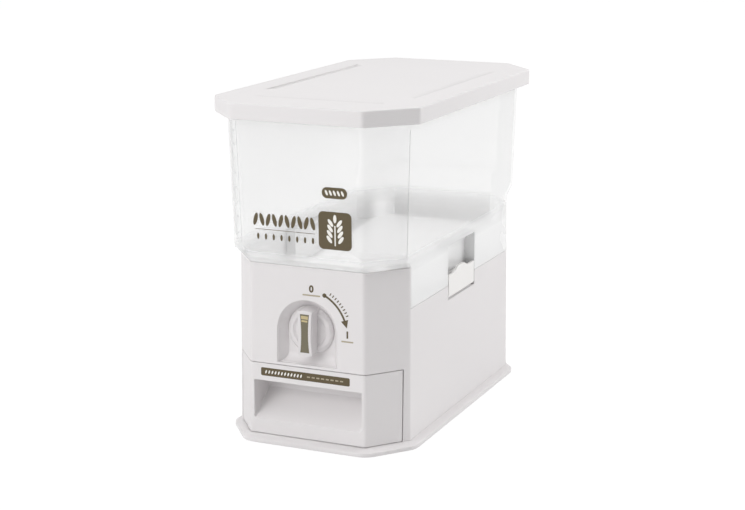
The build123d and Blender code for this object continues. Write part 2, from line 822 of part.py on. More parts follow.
def knob():
    """Disc with a rim, crescent wells beside a waisted grip bar, and a socket behind."""
    disc = Pos(0, 0, knob_disc / 2) * Cylinder(knob_radius, knob_disc)
    disc &= Pos(0, 0, knob_disc - knob_edge_depth / 2) * Cone(
        knob_radius, knob_radius - knob_edge_bevel, knob_edge_depth) + Pos(
            0, 0, (knob_disc - knob_edge_depth) / 2) * Cylinder(
                knob_radius, knob_disc - knob_edge_depth)
    well_floor = knob_disc - knob_well_depth
    inner = knob_radius - knob_edge_bevel - knob_rim_width
    well = Pos(0, 0, knob_disc) * Cone(
        inner - knob_well_slope, inner + knob_well_slope, 2 * knob_well_depth)
    grip = extrude(waisted_face(2 * knob_radius + 4, knob_bar_width + 1.6, knob_bar_waist + 1.6),
                   bar_top - well_floor / 2, taper=knob_bar_taper)
    grip = Pos(0, 0, well_floor / 2) * grip
    grip &= Pos(0, 0, bar_top / 2) * Cone(knob_radius - 0.2, knob_radius - 1.2, bar_top)
    grip = fillet(grip.faces().sort_by(Axis.Z)[-1].edges(), knob_bar_edge)
    dial = disc - well + grip
    dial -= Pos(0, 0, bar_top - inlay_thickness) * extrude(
        waisted_face(inlay_length + 0.2, inlay_width + 0.2, inlay_waist + 0.2), 2)
    socket = shaft_grip()
    dial -= Pos(0, 0, socket / 2 - 0.5) * Cylinder(shaft_radius + screw_fit, socket + 1)
    head_room = screw_head_height + 0.6
    dial -= Pos(0, 0, bar_top - inlay_thickness - head_room / 2) * Cylinder(
        screw_head_radius + 0.2, head_room)
    dial = knob_axis * dial
    return dial - screw_hole(knob_screw_place(), bar_top)


def knob_screw_place():
    return knob_axis * Pos(0, 0, bar_top - inlay_thickness - screw_head_height - 0.6)


def knob_inlay():
    plate = extrude(waisted_face(inlay_length, inlay_width, inlay_waist), inlay_thickness)
    return knob_axis * Pos(0, 0, bar_top - inlay_thickness) * plate


# ---------------------------------------------------------------- drawer


def cup_hollow():
    """Scoop of the cup pull: a ramp from the sill up to an upright back."""
    front = -body_half_depth - 6
    sill_y = -body_half_depth
    scoop = side_profile([
        (front, cup_bottom_z), (sill_y, cup_bottom_z), (cup_back_y, cup_slope_top_z),
        (cup_back_y, cup_top_z), (front, cup_top_z),
    ], cup_half_width)
    ramp = [edge for edge in scoop.edges()
            if edge.length > cup_depth and abs(edge.center().X) > cup_half_width - 1
            and edge.center().Z < cup_slope_top_z and edge.center().Y > sill_y]
    return fillet(ramp, cup_corner)


def drawer_front():
    """Panel that wraps both cut corners, with the cup pull let into it."""
    low = plinth_top_z + drawer_seam
    high = drawer_top_z - drawer_seam
    span = slab(-drawer_half_width, drawer_half_width, -far, drawer_back_y, low, high)
    panel = body_block(low, high) & span
    room = slab(-drawer_half_width + drawer_wall, drawer_half_width - drawer_wall, -far, far,
                low + drawer_wall, high - drawer_wall)
    panel -= body_block(low - 1, high + 1, housing_wall) & room
    cup = side_profile([
        (-body_half_depth, cup_bottom_z - drawer_wall - 1),
        (drawer_back_y, cup_slope_top_z - drawer_wall), (drawer_back_y, cup_top_z + drawer_wall),
        (-body_half_depth, cup_top_z + drawer_wall),
    ], cup_half_width + drawer_wall)
    for z in drawer_boss_zs:
        boss = rod(boss_radius, drawer_boss_x, z, -body_half_depth, drawer_back_y)
        cup += both_sides(boss)
    panel += cup & body_block(low, high)
    panel -= cup_hollow()
    for place in drawer_screw_places():
        panel -= screw_hole(place, drawer_screw_length)
    lips = [edge for edge in panel.edges()
            if edge.center().Y < -body_half_depth + 2 and abs(edge.center().X) < cup_half_width + 1
            and cup_bottom_z - 1 < edge.center().Z < cup_top_z + 1]
    return fillet(lips, cup_lip_radius)


def drawer_screw_places():
    """Seats of the screws inside the bin; the shanks point to the front."""
    seat = bin_front_y + bin_wall
    return [Pos(side * drawer_boss_x, seat, z) * Rot(-90, 0, 0)
            for z in drawer_boss_zs for side in (-1, 1)]


def drawer_bin():
    """Open box with rounded corners and a turned-out lip."""
    middle_y = (bin_front_y + bin_back_y) / 2

    def box_face(grow, z):
        face = Rectangle(2 * (bin_half_width + grow), bin_length + 2 * grow)
        return Pos(0, middle_y, z) * fillet(face.vertices(), bin_corner + grow)

    height = bin_top_z - bin_bottom_z
    box = extrude(box_face(0, bin_bottom_z), height)
    box = fillet(box.edges().group_by(Axis.Z)[0], bin_edge_radius)
    lip = extrude(box_face(bin_lip, bin_top_z - bin_wall), bin_wall)
    lip &= slab(-far, far, bin_front_y, far, 0, far)
    inside = extrude(box_face(-bin_wall, bin_bottom_z + bin_wall), height)
    inside = fillet(inside.edges().group_by(Axis.Z)[0], bin_edge_radius)
    box = box + lip - inside
    for place in drawer_screw_places():
        box -= screw_hole(place, drawer_screw_length)
    return box


# ---------------------------------------------------------------- latches


def latch():
    """Right-hand latch: a plate with a finger tab, a hook behind it and a pin barrel."""
    tab = latch_tab_width / 2
    top = latch_tab_top / 2
    outline = make_face(Polyline(
        (latch_front_y, latch_bottom_z + barrel_radius), (latch_rear_y, latch_bottom_z + barrel_radius),
        (latch_rear_y, latch_shoulder_z), (latch_tab_y + tab, latch_shoulder_z),
        (latch_tab_y + top, latch_tab_z), (latch_tab_y - top, latch_tab_z),
        (latch_tab_y - tab, latch_shoulder_z), (latch_front_y, latch_shoulder_z), close=True))
    crown = [v for v in outline.vertices() if abs(v.X - latch_tab_y) < tab + 1]
    outline = fillet(crown, latch_corner)
    plate = extrude(Plane.YZ * outline, latch_thickness)
    plate = Pos(latch_face_x - latch_thickness, 0, 0) * plate
    skirt = slab(pin_x, latch_face_x, latch_front_y, latch_rear_y, latch_bottom_z, pin_z)
    corner = rod(barrel_radius, pin_x, pin_z, latch_front_y, latch_rear_y)
    plate += skirt & corner
    plate += rod(barrel_radius, pin_x, pin_z, latch_front_y + barrel_gap, latch_rear_y - barrel_gap)
    hook_z = catch_top_z + seat_gap
    hook_x = pocket_back_x + catch_reach - hook_overlap
    plate += slab(hook_x, latch_face_x - 1, latch_y - catch_width / 2 + 2,
                  latch_y + catch_width / 2 - 2, hook_z, hook_z + hook_height)
    rim = [e for e in plate.edges().filter_by_position(Axis.X, latch_face_x - 0.01, latch_face_x + 0.01)
           if e.center().Z > pin_z + 1]
    plate = fillet(rim, latch_edge_radius)
    return plate - rod(pin_radius + bearing_clearance, pin_x, pin_z, -far, far)


def latch_pin():
    return rod(pin_radius, pin_x, pin_z, pocket_front_y - pocket_wall, pocket_rear_y + pocket_wall)


# ---------------------------------------------------------------- lid


def lid_outline(inset, z):
    sizes = (lid_width / 2, lid_depth / 2, lid_cut_x, lid_cut_y)
    return octagon(sizes, lid_edge_radius, inset, z)


def groove(length):
    """Shallow ramp with pointed ends.  It runs along +X, deepest at y = 0, below z = 0."""
    tip = groove_width * 0.8
    deep = make_face(Polyline((tip, 0, -groove_depth), (length - tip, 0, -groove_depth),
                              (length - tip, 0.4, -groove_depth), (tip, 0.4, -groove_depth),
                              close=True))
    wide = make_face(Polyline((0, 0, 0), (length, 0, 0), (length - tip, groove_width, 0),
                              (tip, groove_width, 0), close=True))
    return loft([deep, wide], ruled=True) + loft([wide, Pos(0, 0, 1) * wide], ruled=True)


def lid():
    """Cover with a deep skirt, grip grooves on top and a locating ring inside."""
    block = loft([lid_outline(0, z) for z in (lid_bottom_z, lid_top_z)], ruled=True)
    block = fillet(block.edges().group_by(Axis.Z)[-1], lid_top_radius)
    under = lid_top_z - lid_top_wall
    cover = block - loft([lid_outline(lid_skirt_wall, z) for z in (lid_bottom_z - 1, under)], ruled=True)

    ring_z = under - lid_ring_depth
    ring_inset = hopper_wall + lid_ring_gap
    ring_faces = [[octagon(flare_sizes(ring_z), body_edge_radius, ring_inset + wall, z)
                   for z in (ring_z, under)] for wall in (0, lid_ring_wall)]
    ring_block = loft(ring_faces[0], ruled=True)
    ring_hole = loft(ring_faces[1], ruled=True)
    ribs = slab(-0.7, 0.7, -far, far, under - lid_rib_depth, under)
    for y in range(-120, 121, 80):
        ribs += slab(-far, far, y - lid_rib_wall / 2, y + lid_rib_wall / 2,
                     under - lid_rib_depth, under)
    cover += ring_block - ring_hole + (ribs & ring_hole)

    side_x = lid_width / 2 - groove_inset_x
    from_y = groove_front_gap - lid_depth / 2
    to_y = lid_depth / 2 - groove_rear_gap
    half_front = lid_width / 2 - groove_side_gap
    side = groove(to_y - from_y)
    cover -= Pos(side_x, from_y, lid_top_z) * Rot(0, 0, 90) * side
    cover -= Pos(-side_x, to_y, lid_top_z) * Rot(0, 0, -90) * side
    cover -= Pos(-half_front, groove_inset_y - lid_depth / 2, lid_top_z) * groove(2 * half_front)
    return cover


NODES = {
    "base_plate": base_plate,
    "housing": housing,
    "recess_cup": recess_cup,
    "shaft_bush": shaft_bush,
    "hopper": hopper,
    "channel_liner_right": channel_liner,
    "channel_liner_left": lambda: mirrored(channel_liner()),
    "outlet_funnel": outlet_funnel,
    "rim_collar": rim_collar,
    "inner_deck": inner_deck,
    "valve_body": valve_body,
    "valve_cap": valve_cap,
    "gate_drum": gate_drum,
    "gate_shaft": gate_shaft,
    "outlet_seal": outlet_seal,
    "knob": knob,
    "knob_inlay": knob_inlay,
    "knob_screw": lambda: screws([knob_screw_place()], knob_screw_length),
    "drawer_front": drawer_front,
    "drawer_bin": drawer_bin,
    "latch_right": latch,
    "latch_left": lambda: mirrored(latch()),
    "latch_pin_right": latch_pin,
    "latch_pin_left": lambda: mirrored(latch_pin()),
    "lid": lid,
    "base_screws": lambda: screws(base_screw_places(), base_screw_length),
    "deck_screws": lambda: screws(deck_screw_places(), deck_screw_length),
    "valve_screws": lambda: screws(valve_screw_places(), valve_screw_length),
    "cap_screws": lambda: screws(cap_screw_places(), cap_screw_length),
    "drawer_screws": lambda: screws(drawer_screw_places(), drawer_screw_length),
    "foot_front_left": lambda: rubber_foot(-foot_x, -foot_y),
    "foot_front_right": lambda: rubber_foot(foot_x, -foot_y),
    "foot_rear_left": lambda: rubber_foot(-foot_x, foot_y),
    "foot_rear_right": lambda: rubber_foot(foot_x, foot_y),
}

if __name__ == "__main__":
    os.makedirs("parts", exist_ok=True)
    for name, make in NODES.items():
        export_step(make(), f"parts/{name}.step")
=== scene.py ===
import json
import math

import bmesh
import bpy
from mathutils import Matrix, Vector


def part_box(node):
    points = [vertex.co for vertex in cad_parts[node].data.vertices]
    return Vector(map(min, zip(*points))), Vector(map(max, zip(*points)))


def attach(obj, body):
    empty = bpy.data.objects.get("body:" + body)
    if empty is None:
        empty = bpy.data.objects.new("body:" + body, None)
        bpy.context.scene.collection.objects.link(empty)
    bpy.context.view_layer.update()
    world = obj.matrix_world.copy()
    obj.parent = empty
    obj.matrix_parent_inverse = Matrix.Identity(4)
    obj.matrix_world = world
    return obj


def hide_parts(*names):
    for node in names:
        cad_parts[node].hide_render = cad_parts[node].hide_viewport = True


# Rice dispenser, in metres: a frosted hopper and lid on a grey housing with a
# drawer.  The front faces -Y, Z is up, and the table is at z = 0.

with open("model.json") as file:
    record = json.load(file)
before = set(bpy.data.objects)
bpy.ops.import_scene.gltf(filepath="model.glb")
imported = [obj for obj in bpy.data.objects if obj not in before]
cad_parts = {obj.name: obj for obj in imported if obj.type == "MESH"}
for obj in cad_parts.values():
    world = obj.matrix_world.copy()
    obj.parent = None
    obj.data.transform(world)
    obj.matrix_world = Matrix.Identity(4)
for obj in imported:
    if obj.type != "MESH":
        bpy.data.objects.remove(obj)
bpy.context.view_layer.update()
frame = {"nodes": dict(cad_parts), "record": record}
nodes = frame["nodes"]
lid_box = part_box("lid")

MM = 0.001

# ---------------------------------------------------------------- sizes of the CAD faces

BODY_HALF_DEPTH = 181.4 * MM
BODY_LEAN = 0.009
PLINTH_TOP = 8.6 * MM
FLARE_HEIGHT = 191.0 * MM
FLARE_HALF_WIDTH = 94.1 * MM
FLARE_HALF_DEPTH = 187.6 * MM
FLARE_CUT_X = 31.6 * MM
FLARE_CUT_Y = 35.7 * MM
FLARE_LEAN_X = 0.022
FLARE_LEAN_Y = 0.029
KNOB_HEIGHT = 118.5 * MM
LID_EDGE_X = 20.0 * MM       # the grooves, which get painted shade, lie inside these distances from the lid's edge
LID_EDGE_Y = 42.0 * MM
GROOVE_START = 0.1 * MM
GROOVE_DEPTH = 1.6 * MM
FROST_SOLID = 178.0 * MM     # the hopper's foot is nearly solid below this height
FROST_CLEAR = 200.0 * MM     # and clear above this one
PAINTED_FOOT_GLOW = 0.24            # painted light: a glow given to the frosted foot, which is no lamp
PAINTED_GLOW_ACROSS = 73 * MM, 80 * MM       # the painted glow is full within the first distance, none past the second
PAINTED_GLOW_ALONG = 168 * MM, 186 * MM

PRINT_THICKNESS = 0.16 * MM
PRINT_SUNK = 0.06 * MM       # part of the print's thickness that lies in the surface
PRINT_STEP = 0.1 * MM        # how far a second print lies over the first

# ---------------------------------------------------------------- finishes


class Signal:
    """A shader value that takes part in sums, each of which adds a Math node."""

    def __init__(self, finish, socket):
        self.finish = finish
        self.socket = socket

    def joined(self, operation, first, second):
        return self.finish.add("ShaderNodeMath", {"operation": operation}, {0: first, 1: second})

    def __add__(self, other):
        return self.joined("ADD", self, other)

    def __sub__(self, other):
        return self.joined("SUBTRACT", self, other)

    def __rsub__(self, other):
        return self.joined("SUBTRACT", other, self)

    def __mul__(self, other):
        return self.joined("MULTIPLY", self, other)

    __radd__ = __add__
    __rmul__ = __mul__


class Finish:
    """A material, and the one way that its nodes are added."""

    def __init__(self, name, **surface):
        self.material = bpy.data.materials.new(name)
        self.material.use_nodes = True
        self.tree = self.material.node_tree
        self.surface = self.tree.nodes["Principled BSDF"]
        for socket, value in surface.items():
            self.feed(self.surface.inputs[socket.replace("_", " ")], value)

    def feed(self, socket, value):
        if isinstance(value, Signal):
            self.tree.links.new(value.socket, socket)
        else:
            socket.default_value = value

    def add(self, kind, settings=None, inputs=None, output=0):
        node = self.tree.nodes.new(kind)
        for name, value in (settings or {}).items():
            setattr(node, name, value)
        for socket, value in (inputs or {}).items():
            self.feed(node.inputs[socket], value)
        return Signal(self, node.outputs[output])

    def place(self):
        return self.add("ShaderNodeTexCoord", output="Object")

    def noise(self, per_metre, detail=2.0, roughness=0.5):
        return self.add("ShaderNodeTexNoise", inputs={
            "Vector": self.place(), "Scale": per_metre, "Detail": detail, "Roughness": roughness})

    def between(self, low, high, share):
        """Colour that runs from low to high with the share."""
        return self.add("ShaderNodeMix", {"data_type": "RGBA", "clamp_factor": False},
                        {0: share, 6: low, 7: high}, output=2)

    def coordinate(self, axis):
        return self.add("ShaderNodeSeparateXYZ", inputs={0: self.place()}, output=axis)

    def distance(self, axis):
        """How far a point is from the object's middle plane across this axis."""
        return self.add("ShaderNodeMath", {"operation": "ABSOLUTE"}, {0: self.coordinate(axis)})

    def fade(self, value, full, none):
        """1 where the value is at or beyond full, 0 at or beyond none, and a ramp between."""
        return self.add("ShaderNodeMapRange", inputs={
            "Value": value, "From Min": full, "From Max": none, "To Min": 1.0, "To Max": 0.0})

    def set(self, socket, value):
        self.feed(self.surface.inputs[socket], value)


def shade(colour, factor):
    return tuple(min(1.0, part * factor) for part in colour[:3]) + (1.0,)


def moulded_plastic(name, colour, roughness, grain=0.00001, edge=0.0005, painted_sink_shade=None):
    """Satin plastic: a faint cloudiness, a fine moulded grain and softened edges.
    Sunk parts, given by a half width, a half depth, a height and a depth, get painted shade that
    darkens them more the deeper they lie."""
    finish = Finish(name)
    cloud = finish.noise(14.0, detail=3.0)
    texture = finish.noise(1400.0, detail=1.0)
    tone_with_painted_shade = cloud
    if painted_sink_shade:
        half_width, half_depth, top, deep = painted_sink_shade
        height = finish.coordinate(2)
        painted_shade_mask = (finish.fade(finish.distance(0), half_width, half_width + MM)
                  * finish.fade(finish.distance(1), half_depth, half_depth + MM)
                  * finish.fade(height, top - 1.3 * deep, top - 1.5 * deep))
        # painted shade: the deeper a point lies in a sunk part, the darker its colour
        tone_with_painted_shade = cloud - painted_shade_mask * (1.4 * finish.fade(height, top - 0.4 * deep, top)
                                  + 2.6 * finish.fade(height, top - 0.62 * deep,
                                                      top - 0.42 * deep))
    finish.set("Base Color", finish.between(shade(colour, 0.985), shade(colour, 1.015), tone_with_painted_shade))
    finish.set("Roughness", roughness - 0.03 + 0.06 * cloud + 0.03 * texture)
    rounded = finish.add("ShaderNodeBevel", {"samples": 6}, {"Radius": edge})
    finish.set("Normal", finish.add("ShaderNodeBump", inputs={
        "Strength": 0.35, "Distance": grain, "Height": texture, "Normal": rounded}))
    return finish.material


def frosted_plastic(name, colour, opacity):
    """Clear plastic with a frosted look: more of its own white where it is seen at a slant, and
    nearly solid down in the foot of the hopper. The inner part of the foot glows with painted
    light."""
    finish = Finish(name)
    cloud = finish.noise(9.0, detail=2.0)
    height = finish.coordinate(2)
    foot = finish.fade(height, FROST_SOLID, FROST_CLEAR)
    across, along = (finish.distance(axis) for axis in range(2))
    painted_glow_mask = finish.fade(across, *PAINTED_GLOW_ACROSS) * finish.fade(along, *PAINTED_GLOW_ALONG)
    # painted light: the inner foot of the hopper emits light though it is no lamp
    finish.set("Emission Color", finish.between((0, 0, 0, 1), (1, 1, 1, 1), painted_glow_mask * foot))
    finish.set("Emission Strength", PAINTED_FOOT_GLOW)
    slant = finish.add("ShaderNodeLayerWeight", inputs={"Blend": 0.25}, output="Facing")
    finish.set("Base Color", finish.between(shade(colour, 0.99), shade(colour, 1.01), cloud))
    finish.set("Alpha", opacity + 0.2 * slant + 0.62 * foot)
    finish.set("Roughness", 0.22 + 0.08 * cloud)
    rounded = finish.add("ShaderNodeBevel", {"samples": 4}, {"Radius": 0.0006})
    finish.set("Normal", rounded)
    return finish.material


def ink(name, colour):
    """Printed ink, slightly uneven."""
    finish = Finish(name)
    speckle = finish.noise(600.0, detail=2.0)
    finish.set("Base Color", finish.between(shade(colour, 0.93), shade(colour, 1.07), speckle))
    finish.set("Roughness", 0.42 + 0.1 * speckle)
    return finish.material


GREY = (0.745, 0.722, 0.725, 1.0)
LID_GREY = (0.748, 0.728, 0.731, 1.0)
CREAM = (0.84, 0.825, 0.81, 1.0)
KNOB_GREY = (0.70, 0.675, 0.68, 1.0)
FROST = (0.93, 0.93, 0.93, 1.0)
BROWN = (0.092, 0.067, 0.028, 1.0)
INLAY_BROWN = (0.155, 0.136, 0.088, 1.0)
GOLD = (0.53, 0.44, 0.24, 1.0)
TAN = (0.40, 0.35, 0.25, 1.0)
INK_CREAM = (0.86, 0.84, 0.8, 1.0)
RIB_GREY = (0.80, 0.80, 0.80, 1.0)
EDGE_GREY = (0.40, 0.40, 0.40, 1.0)
RUBBER = (0.03, 0.03, 0.032, 1.0)
STEEL = (0.56, 0.56, 0.57, 1.0)

finishes = {
    "body_plastic": moulded_plastic("body_plastic", GREY, 0.44),
    # the lid's grooves are darkened by painted shade
    "lid_plastic": moulded_plastic("lid_plastic", LID_GREY, 0.46, painted_sink_shade=(
        lid_box[1][0] - LID_EDGE_X, lid_box[1][1] - LID_EDGE_Y, lid_box[1][2] - GROOVE_START,
        GROOVE_DEPTH)),
    "latch_plastic": moulded_plastic("latch_plastic", CREAM, 0.38),
    "knob_plastic": moulded_plastic("knob_plastic", KNOB_GREY, 0.40),
    "bin_plastic": moulded_plastic("bin_plastic", CREAM, 0.30),
    "valve_plastic": moulded_plastic("valve_plastic", GREY, 0.5),
    "gate_plastic": moulded_plastic("gate_plastic", shade(GREY, 0.8), 0.45),
    "hopper_clear": frosted_plastic("hopper_clear", FROST, 0.14),
    "hopper_rib": frosted_plastic("hopper_rib", RIB_GREY, 0.3),
    "hopper_edge": frosted_plastic("hopper_edge", EDGE_GREY, 0.6),
    "inlay_plastic": ink("inlay_plastic", INLAY_BROWN),
    "rubber": moulded_plastic("rubber", RUBBER, 0.7),
    "seal_rubber": moulded_plastic("seal_rubber", CREAM, 0.5),
    "shaft_steel": Finish("shaft_steel", Base_Color=STEEL, Metallic=1.0,
                          Roughness=0.32).material,
    "screw_steel": Finish("screw_steel", Base_Color=STEEL, Metallic=1.0,
                          Roughness=0.36).material,
}
brown_ink = ink("brown_ink", BROWN)
gold_ink = ink("gold_ink", GOLD)
tan_ink = ink("tan_ink", TAN)
cream_ink = ink("cream_ink", INK_CREAM)

slot_of = {part["node"]: part["material_slot"] for part in frame["record"]["subparts"]}
for name, node in nodes.items():
    for wearing in node.material_slots:
        wearing.material = finishes[slot_of[name]]

# ---------------------------------------------------------------- helpers for pieces


def linked(name, mesh, material):
    piece = bpy.data.objects.new(name, mesh)
    bpy.context.scene.collection.objects.link(piece)
    piece.data.materials.append(material)
    return piece


def smooth_copy(node, body):
    """A CAD node with its loose triangles joined and its curved faces shaded as curves."""
    mesh = nodes[node].data.copy()
    mesh.name = node + "_smooth"
    shape = bmesh.new()
    shape.from_mesh(mesh)
    bmesh.ops.remove_doubles(shape, verts=shape.verts, dist=0.000002)
    bmesh.ops.dissolve_limit(shape, angle_limit=math.radians(0.4), verts=shape.verts,
                             edges=shape.edges)
    shape.to_mesh(mesh)
    shape.free()
    mesh.shade_smooth()
    mesh.set_sharp_from_angle(angle=math.radians(26))
    piece = bpy.data.objects.new(node + "_smooth", mesh)
    bpy.context.scene.collection.objects.link(piece)
    even = piece.modifiers.new("even_shading", "WEIGHTED_NORMAL")
    even.keep_sharp = True
    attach(piece, body)
    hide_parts(node)
    return piece


body_of_node = {node: body for body, members in frame["record"]["behaviour"]["bodies"].items()
                for node in members}
for node in ("lid", "hopper", "outlet_funnel", "channel_liner_right", "channel_liner_left",
             "housing", "recess_cup", "base_plate", "drawer_front", "drawer_bin", "knob",
             "latch_right", "latch_left"):
    smooth_copy(node, body_of_node[node])

# ---------------------------------------------------------------- printed marks


class Face:
    """A flat face of the object.  A place on it is a distance to the right of its origin's
    line and a height; the line drifts sideways as it rises on a leaning face."""

    def __init__(self, origin, right, drift, raised=0.0):
        self.origin = Vector(origin)
        self.right = Vector(right).normalized()
        self.drift = Vector(drift)
        self.up = (self.drift - self.drift.dot(self.right) * self.right).normalized()
        self.out = self.right.cross(self.up)
        self.raised = raised

    def at(self, across, height, turn=0.0):
        """Frame on the face: x to the right, y up and z out, turned anticlockwise."""
        rise = height - self.origin.z
        place = self.origin + rise * self.drift + across * self.right + self.raised * self.out
        axes = Matrix((self.right, self.up, self.out)).transposed().to_4x4()
        return Matrix.Translation(place) @ axes @ Matrix.Rotation(math.radians(turn), 4, "Z")

    def lifted(self, step):
        return Face(self.origin, self.right, self.drift, self.raised + step)


class Print:
    """Thin marks on one face, gathered in one piece.  Sizes and places are in millimetres."""

    def __init__(self, name, face, thickness=PRINT_THICKNESS):
        self.name = name
        self.face = face
        self.thickness = thickness
        self.shape = bmesh.new()

    def frame_of(self, across, height, wide, high, turn):
        middle = Matrix.Translation((0, 0, self.thickness / 2 - PRINT_SUNK))
        return (self.face.at(across * MM, height * MM, turn) @ middle
                @ Matrix.Diagonal((wide * MM, high * MM, self.thickness, 1)))

    def spot(self, across, height, wide, high, turn=0.0, sides=28):
        """Ellipse, or a pointed shape with few sides."""
        bmesh.ops.create_cone(self.shape, cap_ends=True, segments=sides, radius1=0.5, radius2=0.5,
                              depth=1.0, matrix=self.frame_of(across, height, wide, high, turn))

    def bar(self, across, height, wide, high, corner, turn=0.0):
        """Rectangle with rounded corners."""
        corners = bmesh.ops.create_cube(
            self.shape, size=1.0, matrix=self.frame_of(across, height, wide, high, turn))["verts"]
        edges = {edge for point in corners for edge in point.link_edges}
        uprights = [edge for edge in edges
                    if edge.calc_length() < 1.01 * self.thickness]
        bmesh.ops.bevel(self.shape, geom=uprights, offset=corner * MM, offset_type="OFFSET",
                        segments=6, profile=0.5, affect="EDGES")

    def stroke(self, across, height, radius, start, end, wide):
        """Curved line about a centre, from one angle to the other."""
        place = self.face.at(across * MM, height * MM, start)
        section = (place @ Matrix.Translation((radius * MM, 0, self.thickness / 2 - PRINT_SUNK))
                   @ Matrix.Rotation(math.radians(90), 4, "X")
                   @ Matrix.Diagonal((wide * MM, self.thickness, 1, 1)))
        drawn = bmesh.ops.create_grid(self.shape, x_segments=1, y_segments=1, size=0.5,
                                      matrix=section)["verts"]
        rim = {part for point in drawn for part in (*point.link_edges, *point.link_faces)}
        bmesh.ops.spin(self.shape, geom=[*drawn, *rim], cent=place.translation,
                       axis=self.face.out, angle=math.radians(end - start), steps=28,
                       use_duplicate=False)

    def numeral(self, text, across, height, high):
        """A number, its middle at the place."""
        writing = bpy.data.curves.new("numeral", "FONT")
        writing.body = text
        writing.size = high * MM / 0.7
        writing.align_x = "CENTER"
        writing.align_y = "CENTER"
        writing.extrude = self.thickness / 2
        writing.offset = 0.0004
        holder = bpy.data.objects.new("numeral", writing)
        mesh = bpy.data.meshes.new_from_object(holder)
        mesh.transform(self.face.at(across * MM, height * MM)
                       @ Matrix.Translation((0, 0, self.thickness / 2 - PRINT_SUNK)))
        self.shape.from_mesh(mesh)
        bpy.data.objects.remove(holder)
        bpy.data.meshes.remove(mesh)

    def lay(self, body, material):
        bmesh.ops.recalc_face_normals(self.shape, faces=self.shape.faces)
        mesh = bpy.data.meshes.new(self.name)
        self.shape.to_mesh(mesh)
        self.shape.free()
        piece = linked(self.name, mesh, material)
        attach(piece, body)
        return piece


RIGHT = (1, 0, 0)
hopper_front = Face((0, -FLARE_HALF_DEPTH, FLARE_HEIGHT), RIGHT, (0, -FLARE_LEAN_Y, 1))
housing_front = Face((0, -BODY_HALF_DEPTH, PLINTH_TOP), RIGHT, (0, BODY_LEAN, 1))
inlay_front = Face((0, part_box("knob_inlay")[0][1], KNOB_HEIGHT), RIGHT, (0, 0, 1))
scale_face = Face((-FLARE_HALF_WIDTH, FLARE_CUT_Y - FLARE_HALF_DEPTH, FLARE_HEIGHT),
                  (FLARE_CUT_X, -FLARE_CUT_Y, 0), (-FLARE_LEAN_X, -FLARE_LEAN_Y, 1))

# hopper: a badge with an ear of rice, a pill with grains over it, and rows of grains
BADGE_X = 34.7
PILL_HEIGHT = 261.2
badge = Print("badge", hopper_front)
badge.bar(BADGE_X, 224.4, 34.6, 37.0, 5.0)
badge.bar(BADGE_X, PILL_HEIGHT, 26.4, 10.8, 5.2)
badge.lay("base", brown_ink)
ear = Print("badge_ear", hopper_front.lifted(PRINT_STEP))
ear.bar(BADGE_X, 219.6, 1.3, 20.0, 0.6)
ear.spot(BADGE_X, 236.2, 3.4, 8.2)
for row in range(4):
    for side in (-1, 1):
        ear.spot(BADGE_X + side * (4.6 + 0.5 * row), 232.0 - 5.4 * row, 3.4, 8.6, -side * 36)
for index in range(-2, 3):
    ear.spot(BADGE_X + 4.2 * index, PILL_HEIGHT, 2.3, 5.6, 24)
ear.lay("base", cream_ink)

grains = Print("hopper_grains", hopper_front)
for index in range(10):
    grains.spot(-50.0 + 6.8 * index, 229.4, 4.3, 12.8, 14 if index % 2 else -14)
grains.bar(-18.6, 219.7, 64.0, 0.5, 0.2)
for index in range(8):
    grains.spot(-47.6 + 8.4 * index, 212.6, 2.5, 6.2)
grains.lay("base", brown_ink)

# painted edge shade: a grey line where the hopper's cut corner meets its side
corner_face = Face((FLARE_HALF_WIDTH, FLARE_CUT_Y - FLARE_HALF_DEPTH, FLARE_HEIGHT), (0, 1, 0),
                   (FLARE_LEAN_X, -FLARE_LEAN_Y, 1))
corner = Print("painted_corner_shade_line", corner_face)
corner.bar(0.5, 257.0, 0.6, 126.0, 0.2)
corner.lay("base", finishes["hopper_edge"])

# level scale on the left front corner of the hopper
scale = Print("level_scale", scale_face, thickness=0.3 * MM)
scale.bar(12.0, 265.0, 9.0, 120.0, 4.0)
for height in (209.6, 226.0, 241.0, 255.6, 270.0, 284.5, 298.5, 312.0):
    scale.bar(24.0, height, 5.4, 1.3, 0.5)
scale.bar(36.0, 267.0, 0.8, 116.0, 0.3)
scale.stroke(26.0, 209.0, 10.0, 180, 360, 0.8)
scale.lay("base", finishes["hopper_rib"])

# housing: the knob's places, 0 for shut and 1 for open, and the way between them
KNOB_MM = KNOB_HEIGHT / MM
ARROW_RADIUS = 43.5
TICK_RADIUS = 48.1
SHUT_X, OPEN_X = 5.0, 43.4
turning = Print("turning_marks", housing_front)
turning.stroke(0, KNOB_MM, ARROW_RADIUS, 64, 21, 2.0)
for angle, wide, high, sides in ((64, 4.4, 4.4, 28), (18.4, 9.2, 10.4, 3)):
    around = math.radians(angle)
    turning.spot(ARROW_RADIUS * math.cos(around), KNOB_MM + ARROW_RADIUS * math.sin(around),
                 wide, high, angle + 180 if sides == 3 else 0, sides)
for angle in range(26, 59, 4):
    around = math.radians(angle)
    turning.bar(TICK_RADIUS * math.cos(around), KNOB_MM + TICK_RADIUS * math.sin(around),
                2.8, 1.1, 0.3, angle)
turning.numeral("0", SHUT_X, 162.4, 6.6)
turning.numeral("1", OPEN_X, 120.4, 6.6)
turning.lay("base", brown_ink)
under = Print("turning_dashes", housing_front)
under.bar(SHUT_X, 156.2, 19.0, 1.5, 0.6)
under.bar(OPEN_X, 113.8, 12.8, 1.5, 0.6)
under.lay("base", tan_ink)

